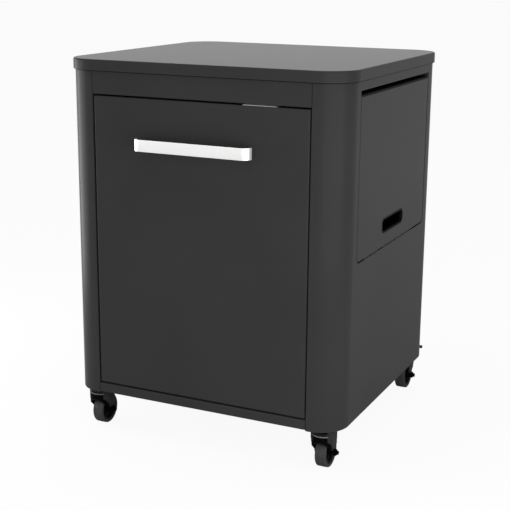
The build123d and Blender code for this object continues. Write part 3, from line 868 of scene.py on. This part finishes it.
@dataclass
class SubAssembly:
    """A group of CAD nodes that share a body, with the finish each one wears."""

    palette: Palette
    body: str = ""
    finishes: dict[Finish, list[str]] = field(default_factory=dict)
    pieces: list[bpy.types.Object] = field(default_factory=list)
    crease: float = 28.0

    def add(self, finish: Finish, *pieces: bpy.types.Object) -> None:
        """Dress new pieces and keep them for the report."""
        self.palette.dress(finish, *pieces)
        self.pieces += pieces

    def build(self) -> None:
        """Make the meshes that the CAD nodes leave to the looks."""

    def dress(self) -> None:
        """Put the finishes on the CAD nodes, smooth over their curved faces."""
        for finish, names in self.finishes.items():
            for name in names:
                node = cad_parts[name]
                node.data.set_sharp_from_angle(angle=math.radians(self.crease))
                self.palette.dress(finish, node)

    def report(self) -> None:
        """Log what the sub-assembly shows."""
        nodes = [name for names in self.finishes.values() for name in names]
        for name in nodes:
            log.info("%s: node %s", self.body, name)
        for piece in self.pieces:
            log.info("%s: piece %s", self.body, piece.name)


@dataclass
class Carcass(SubAssembly):
    """Worktop, side shells, fascia, base pan, back and their inner fittings."""

    body: str = "carcass"
    shade_strips: JointShadeStrips = JointShadeStrips()
    heads: ScrewHeads = ScrewHeads("back_panel_screws", "carcass", 0.0022)

    def __post_init__(self) -> None:
        """Name the carcass's nodes by finish."""
        self.finishes = {
            Palette.COAT: [
                "worktop", "left_side_shell", "right_side_shell", "front_fascia",
                "base_pan", "rear_rail", "back_panel", "shelf_jambs",
            ],
            Palette.ZINC: [
                "worktop_stiffeners", "worktop_studs", "stud_nuts", "back_panel_screws",
                "pivot_plates", "shelf_pins", "shelf_stop_rail",
                "caster_backing_plates", "stem_nuts",
            ],
            Palette.BLACK: ["pivot_pins", "caster_stems"],
            Palette.NYLON: ["thrust_washer", "strut_catches"],
            Palette.BUMPER: ["door_bumpers"],
            Palette.MAGNET: ["catch_magnet"],
        }

    def build(self) -> None:
        """Make the back panel's screw heads and the black strips of painted shade in the joints and
        under the rim.
        """
        self.add(Palette.ZINC, self.heads.build())
        # Black strips that paint the shade in the open joints and the shadow under the rim.
        self.add(Palette.SEAL, *self.shade_strips.build())


@dataclass
class Door(SubAssembly):
    """Door skin, liner, handle and pivot fittings."""

    body: str = "door"
    strap: BentStrap = BentStrap()
    heads: ScrewHeads = ScrewHeads("liner_screws", "door", 0.0015)

    def __post_init__(self) -> None:
        """Name the door's nodes by finish."""
        self.finishes = {
            Palette.COAT: ["door_skin", "door_liner"],
            Palette.HANDLE: ["handle"],
            Palette.BLACK: ["handle_posts"],
            Palette.ZINC: ["liner_screws", "handle_screws", "strike_plate"],
            Palette.NYLON: ["pivot_blocks"],
        }

    def build(self) -> None:
        """Make the handle's strap and the liner's screw heads."""
        self.add(Palette.HANDLE, self.strap.build())
        self.add(Palette.ZINC, self.heads.build())


@dataclass
class SideShelf(SubAssembly):
    """The fold-up shelf with its bushes and pins."""

    body: str = "side_shelf"
    hole_trim: HoleShadeTrim = HoleShadeTrim()
    edge_trim: SlotShadeTrim = SlotShadeTrim()

    def __post_init__(self) -> None:
        """Name the shelf's nodes by finish."""
        self.finishes = {
            Palette.COAT: ["shelf_panel"],
            Palette.ZINC: ["shelf_stiffener", "strut_pins"],
            Palette.NYLON: ["shelf_bushes"],
        }

    def build(self) -> None:
        """Make the black trims of the hand hole and the upper edge, which paint the shade in the
        hole and the slot.
        """
        # Black trims that paint the shade inside the hand hole and the slot.
        self.add(Palette.TRIM, self.hole_trim.build(), self.edge_trim.build())


@dataclass
class PropStrut(SubAssembly):
    """One prop strut, which has no pieces of its own."""

    end: ShelfEnd = ShelfEnd.FRONT

    def __post_init__(self) -> None:
        """Name the strut by its end of the shelf."""
        self.body = f"{self.end.value}_prop"
        self.finishes = {Palette.ZINC: [f"{self.end.value}_strut"]}


@dataclass(frozen=True)
class ForkCheek:
    """Raised side of a caster's fork, from above the axle up beside the swivel race; its grey,
    lighter than the fork's black, is painted light on the fork's side.
    """

    radius: float = 0.0272
    crown: float = 0.0235
    shoulder: float = 0.0195
    leg: float = 0.0165
    knee: Span = (0.040, 0.064)
    levels: Span = (0.037, 0.0866)
    thickness: Span = (0.0008, 0.0011)
    front: Span = (0.006, -0.0175)
    rear: Span = (0.0235, 0.0205)
    blend: float = 0.020
    sunk: float = 0.0004
    edge: float = 0.0007
    foot_edge: float = 0.5
    top_edge: float = 0.3
    steps: int = 24

    def loop(self, middle: Vector, side: Side, level: float, inset: float) -> list[Vector]:
        """Draw the cheek's outline at one level.

        Args:
            middle: of the swivel, on the floor.
            side: of the fork.
            level: above the floor.
            inset: of the outer face and the ends.
        Returns:
            The outline's points.
        """
        share = min(max((level - self.knee[0]) / (self.knee[1] - self.knee[0]), 0.0), 1.0)
        limit, thick, first, last = (
            low + share * (high - low)
            for low, high in ((self.leg, self.crown), self.thickness, self.front, self.rear)
        )
        outer, inner = [], []
        for step in range(self.steps + 1):
            back = first + inset + (last - first - 2 * inset) * step / self.steps
            grown = min((back - first) / self.blend, 1.0)
            swell = self.crown + (self.radius - self.crown) * grown * grown * (3 - 2 * grown)
            wall = max(math.sqrt(self.crown**2 - back**2), self.shoulder if back > 0 else 0.0)
            face = max(math.sqrt(swell**2 - back**2), wall + self.thickness[0])
            for run, out in (
                (outer, min(face, limit + thick) - inset),
                (inner, min(wall, limit) - self.sunk),
            ):
                run.append(middle + Vector((side.value * out, back, level)))
        return outer + inner[::-1]

    def build(self, where: str) -> list[bpy.types.Object]:
        """Make both cheeks of one fork.

        Args:
            where: the caster's corner.
        Returns:
            Their objects, riding on the swivel.
        """
        low, high = (Vector(corner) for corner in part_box(f"fork_{where}"))
        middle = Vector(((low.x + high.x) / 2, low.y + self.crown, 0.0))
        bottom, top = self.levels
        plain = top - bottom - 2 * self.edge
        heights = [(bottom, self.edge * self.foot_edge)]
        for step in range(self.steps + 1):
            heights.append((bottom + self.edge + plain * step / self.steps, 0.0))
        heights += [(top - self.edge * self.top_edge, self.edge * self.top_edge), (top, self.edge)]
        pieces = []
        for side in Side:
            loops = [self.loop(middle, side, level, inset) for level, inset in heights]
            piece = skin(f"fork_cheek_{where}_{side.label}", loops)
            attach(piece, f"swivel_{where}")
            pieces.append(piece)
        return pieces


@dataclass(frozen=True)
class Tyre:
    """A tyre with full flanks, round shoulders, a low crown and a moulding line."""

    depth: float = 0.007
    swell: float = 0.0014
    shoulder: float = 0.0022
    crown: float = 0.0003
    bead: float = 0.0006
    groove: Span = (0.0022, 0.0032)
    groove_slope: float = 0.0003
    groove_depth: float = 0.0004
    tread: float = 0.35
    line: Span = (0.0005, 0.0002)
    line_height: float = 0.00025
    shoulder_steps: int = 8
    steps: int = 96
    crease: float = 40.0

    def flank(self, half: float, radius: float) -> list[Ring]:
        """Draw one half of the tyre's section, from the hub to the moulding line.

        Args:
            half: the tyre's half width.
            radius: of the tread's middle.
        Returns:
            The section's rings.
        """
        hub, sunk = radius - self.depth, half - self.groove_depth
        low, high = self.groove
        rings = [
            Ring(half - self.bead, hub),
            Ring(half, hub + self.bead),
            Ring(half, hub + low),
            Ring(sunk, hub + low + self.groove_slope),
            Ring(sunk, hub + high - self.groove_slope),
            Ring(half, hub + high),
        ]
        for step in range(self.shoulder_steps + 1):
            turn = step / self.shoulder_steps * math.pi / 2
            inward, down = (self.shoulder * (1 - of(turn)) for of in (math.cos, math.sin))
            rings.append(Ring(half - inward, radius - self.crown - down))
        return rings + [
            Ring(half * self.tread, radius - self.crown),
            Ring(self.line[0], radius - self.line_height),
            Ring(self.line[1], radius),
        ]

    def build(self, where: str) -> bpy.types.Object:
        """Turn the tyre in place of the plain node.

        Args:
            where: the caster's corner.
        Returns:
            The tyre's object, riding on the wheel.
        """
        low, high = (Vector(corner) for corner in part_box(f"tyre_{where}"))
        flank = self.flank((high.x - low.x) / 2 + self.swell, (high.z - low.z) / 2)
        rings = [Ring(-ring.along, ring.radius) for ring in flank] + flank[::-1]
        turning = Turning(f"tyre_{where}_rubber", self.steps)
        turning.add(rings, (low + high) / 2, Vector((1.0, 0.0, 0.0)), closed=True)
        piece = turning.build(self.crease)
        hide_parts(f"tyre_{where}")
        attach(piece, f"wheel_{where}")
        return piece


@dataclass(frozen=True)
class RaceRim:
    """A rim on a caster's swivel race, by its drop from the race's top and its height; its grey,
    lighter than the fork's black, is a painted highlight line.
    """

    name: str
    drop: float
    height: float
    radius: float = 0.023
    sunk: float = 0.0003
    ledge: float = 0.0004
    proud: float = 0.0008
    face: Span = (0.2, 0.76)
    steps: int = 96
    crease: float = 50.0

    def build(self, where: str) -> bpy.types.Object:
        """Turn the rim.

        Args:
            where: the caster's corner.
        Returns:
            The rim's object, riding on the swivel.
        """
        low, high = (Vector(corner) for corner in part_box(f"fork_{where}"))
        profile = (
            (0.0, -self.sunk),
            (0.0, self.ledge),
            (self.face[0], self.proud),
            (self.face[1], self.proud),
            (1.0, self.ledge),
            (1.0, -self.sunk),
        )
        rings = [Ring(share * self.height, self.radius + out) for share, out in profile]
        place = Vector(((low.x + high.x) / 2, low.y + ForkCheek.crown, high.z - self.drop))
        turning = Turning(f"{self.name}_{where}", self.steps)
        turning.add(rings, place, Vector((0.0, 0.0, 1.0)), closed=True)
        piece = turning.build(self.crease)
        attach(piece, f"swivel_{where}")
        return piece


@dataclass
class Caster(SubAssembly):
    """One swivel caster: fork, axle, hub and tyre."""

    corner: Corner = Corner.FRONT_LEFT
    tyre: Tyre = Tyre()
    cheek: ForkCheek = ForkCheek()
    lower_rim: RaceRim = RaceRim("race_highlight_ring", 0.0088, 0.0025)
    upper_rim: RaceRim = RaceRim("race_lip_highlight", 0.0034, 0.0016)
    edge: float = 0.0007
    edge_angle: float = 40.0
    edge_steps: int = 3
    weld: float = 1e-6

    def __post_init__(self) -> None:
        """Name the caster's nodes by finish."""
        where = self.corner.value
        self.body = f"swivel_{where}"
        self.finishes = {
            Palette.BLACK: [f"fork_{where}", f"axle_{where}"],
            Palette.HUB: [f"hub_{where}"],
            Palette.TYRE: [f"tyre_{where}"],
        }

    def soften(self) -> None:
        """Round the fork's edges a little."""
        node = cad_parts[f"fork_{self.corner.value}"]
        weld = node.modifiers.new("joined_faces", "WELD")
        weld.merge_threshold = self.weld
        bevel = node.modifiers.new("broken_edges", "BEVEL")
        bevel.width = self.edge
        bevel.segments = self.edge_steps
        bevel.limit_method = "ANGLE"
        bevel.angle_limit = math.radians(self.edge_angle)
        bevel.harden_normals = True

    def build(self) -> None:
        """Make the tyre, the fork's cheeks and the race's rims, whose lighter greys paint light and
        highlight lines on the fork, and break the fork's edges.
        """
        where = self.corner.value
        self.add(Palette.TYRE, self.tyre.build(where))
        # The cheeks wear a lighter copy of the fork's black: painted light on the fork's sides.
        self.add(Palette.CHEEK, *self.cheek.build(where))
        # The race's lower rim in light grey: a painted highlight line.
        self.add(Palette.RACE_PAINTED_HIGHLIGHT, self.lower_rim.build(where))
        # The race's upper lip in the fork's lighter grey: a painted highlight line.
        self.add(Palette.CHEEK, self.upper_rim.build(where))
        self.soften()


@dataclass(frozen=True)
class PhotoCamera:
    """The camera that took the photograph, fitted to the cabinet's corners."""

    place: Point = (1.027, -2.191, 0.9752)
    azimuth: float = 25.216
    elevation: float = 14.441
    roll: float = 0.486
    focal_pixels: float = 1149.4
    frame_pixels: float = 510.0
    sensor: float = 36.0
    clip: float = 60.0

    def build(self) -> None:
        """Make the camera and give it to the scene."""
        data = bpy.data.cameras.new("photo_camera")
        data.sensor_width = self.sensor
        data.lens = self.focal_pixels / self.frame_pixels * self.sensor
        data.clip_end = self.clip
        camera = bpy.data.objects.new("photo_camera", data)
        bpy.context.scene.collection.objects.link(camera)
        azimuth, elevation = math.radians(self.azimuth), math.radians(self.elevation)
        level = math.cos(elevation)
        look = Vector((-math.sin(azimuth) * level, math.cos(azimuth) * level, -math.sin(elevation)))
        turn = look.to_track_quat("-Z", "Y").to_matrix().to_4x4()
        roll = Matrix.Rotation(math.radians(self.roll), 4, "Z")
        camera.matrix_world = Matrix.Translation(self.place) @ turn @ roll
        bpy.context.scene.camera = camera


@dataclass(frozen=True)
class Softbox:
    """A studio lamp that faces a point."""

    name: str
    place: Point
    aim: Point
    size: Span
    power: float

    def build(self) -> None:
        """Make the lamp."""
        data = bpy.data.lights.new(self.name, "AREA")
        data.shape = "RECTANGLE"
        data.size, data.size_y = self.size
        data.energy = self.power
        lamp = bpy.data.objects.new(self.name, data)
        bpy.context.scene.collection.objects.link(lamp)
        lamp.location = self.place
        lamp.visible_camera = False
        lamp.rotation_mode = "QUATERNION"
        lamp.rotation_quaternion = (Vector(self.aim) - Vector(self.place)).to_track_quat("-Z", "Y")


@dataclass(frozen=True)
class Studio:
    """A white sweep with soft lamps round the cabinet."""

    surround: float = 0.8
    floor_size: float = 80.0
    floor_color: Color = (0.5, 0.5, 0.5)
    floor_glow: float = 0.93
    near_glow: float = 0.0
    glow_reach: Span = (0.5, 3.2)
    lamps: tuple[Softbox, ...] = (
        Softbox("overhead_softbox", (-0.3, -0.2, 3.2), (0.0, 0.0, 0.4), (2.4, 2.4), 50.0),
        Softbox("left_softbox", (-2.4, -1.7, 1.2), (-0.2, -0.25, 0.45), (1.6, 1.6), 22.0),
        Softbox("left_strip", (-1.37, -0.37, 0.36), (-0.25, -0.21, 0.36), (1.05, 0.7), 18.0),
        Softbox("front_right_strip", (0.96, -0.84, 0.5), (0.25, -0.2, 0.5), (1.45, 0.65), 14.5),
        Softbox("rear_panel", (-2.4, 2.6, 1.5), (0.0, 0.0, 0.8), (4.6, 1.8), 6.0),
    )

    def seen(self, tree: bpy.types.NodeTree) -> Socket:
        """Tell rays that show the background from those that only light the object.

        Args:
            tree: the node tree to work in.
        Returns:
            1 for camera, glossy and transmission rays, else 0.
        """
        path = tree.nodes.new("ShaderNodeLightPath")
        result = path.outputs["Is Camera Ray"]
        for name in ("Is Glossy Ray", "Is Transmission Ray"):
            either = tree.nodes.new("ShaderNodeMath")
            either.operation = "MAXIMUM"
            tree.links.new(result, either.inputs[0])
            tree.links.new(path.outputs[name], either.inputs[1])
            result = either.outputs["Value"]
        return result

    def world(self) -> None:
        """Make the white surround."""
        world = bpy.data.worlds.new("white_surround")
        bpy.context.scene.world = world
        world.use_nodes = True
        tree = world.node_tree
        tree.nodes.clear()
        output = tree.nodes.new("ShaderNodeOutputWorld")
        mix = tree.nodes.new("ShaderNodeMixShader")
        ambient = tree.nodes.new("ShaderNodeBackground")
        ambient.inputs["Color"].default_value = WHITE
        ambient.inputs["Strength"].default_value = self.surround
        white = tree.nodes.new("ShaderNodeBackground")
        white.inputs["Color"].default_value = WHITE
        white.inputs["Strength"].default_value = 1.0
        tree.links.new(self.seen(tree), mix.inputs["Fac"])
        tree.links.new(ambient.outputs["Background"], mix.inputs[1])
        tree.links.new(white.outputs["Background"], mix.inputs[2])
        tree.links.new(mix.outputs["Shader"], output.inputs["Surface"])

    def fade(self, tree: bpy.types.NodeTree) -> Socket:
        """Grade the floor's glow, which is less near the cabinet in reflections: painted shade on
        the floor round the cabinet, seen in its mirrored sides.

        Args:
            tree: the floor's node tree.
        Returns:
            The glow's share at a point of the floor.
        """
        place = tree.nodes.new("ShaderNodeTexCoord")
        reach = tree.nodes.new("ShaderNodeVectorMath")
        reach.operation = "LENGTH"
        tree.links.new(place.outputs["Object"], reach.inputs[0])
        # Painted shade round the cabinet: less glow near it, in reflections only.
        grade = tree.nodes.new("ShaderNodeMapRange")
        grade.inputs["From Min"].default_value = self.glow_reach[0]
        grade.inputs["From Max"].default_value = self.glow_reach[1]
        grade.inputs["To Min"].default_value = self.near_glow
        grade.inputs["To Max"].default_value = self.floor_glow
        tree.links.new(reach.outputs["Value"], grade.inputs["Value"])
        path = tree.nodes.new("ShaderNodeLightPath")
        pick = tree.nodes.new("ShaderNodeMix")
        pick.inputs["A"].default_value = self.floor_glow
        tree.links.new(path.outputs["Is Glossy Ray"], pick.inputs["Factor"])
        tree.links.new(grade.outputs["Result"], pick.inputs["B"])
        return pick.outputs["Result"]

    def floor(self) -> None:
        """Make the pale floor, which keeps the cabinet's shadow."""
        half = self.floor_size / 2
        mesh = bpy.data.meshes.new("studio_floor")
        mesh.from_pydata(
            [(-half, -half, 0.0), (half, -half, 0.0), (half, half, 0.0), (-half, half, 0.0)],
            [],
            [(0, 1, 2, 3)],
        )
        floor = bpy.data.objects.new("studio_floor", mesh)
        bpy.context.scene.collection.objects.link(floor)
        material = bpy.data.materials.new("studio_floor")
        material.use_nodes = True
        tree = material.node_tree
        tree.nodes.clear()
        output = tree.nodes.new("ShaderNodeOutputMaterial")
        mix = tree.nodes.new("ShaderNodeMixShader")
        matte = tree.nodes.new("ShaderNodeBsdfDiffuse")
        matte.inputs["Color"].default_value = (*self.floor_color, 1.0)
        glow = tree.nodes.new("ShaderNodeEmission")
        glow.inputs["Strength"].default_value = 1.0
        share = tree.nodes.new("ShaderNodeMath")
        share.operation = "MULTIPLY"
        tree.links.new(self.seen(tree), share.inputs[0])
        tree.links.new(self.fade(tree), share.inputs[1])
        tree.links.new(share.outputs["Value"], mix.inputs["Fac"])
        tree.links.new(matte.outputs["BSDF"], mix.inputs[1])
        tree.links.new(glow.outputs["Emission"], mix.inputs[2])
        tree.links.new(mix.outputs["Shader"], output.inputs["Surface"])
        mesh.materials.append(material)

    def build(self) -> None:
        """Make surround, floor and lamps."""
        self.world()
        self.floor()
        for lamp in self.lamps:
            lamp.build()
        bpy.context.scene.view_settings.view_transform = "Standard"


def main() -> None:
    """Build and dress the cabinet, then set the studio."""
    logging.basicConfig(level=logging.INFO, format="%(message)s")
    palette = Palette()
    assemblies: list[SubAssembly] = [
        Carcass(palette),
        Door(palette),
        SideShelf(palette),
        *[PropStrut(palette, end=end) for end in ShelfEnd],
        *[Caster(palette, corner=corner) for corner in Corner],
    ]
    for assembly in assemblies:
        assembly.build()
        assembly.dress()
        assembly.report()
    Studio().build()
    PhotoCamera().build()


if __name__ == "__main__":
    main()
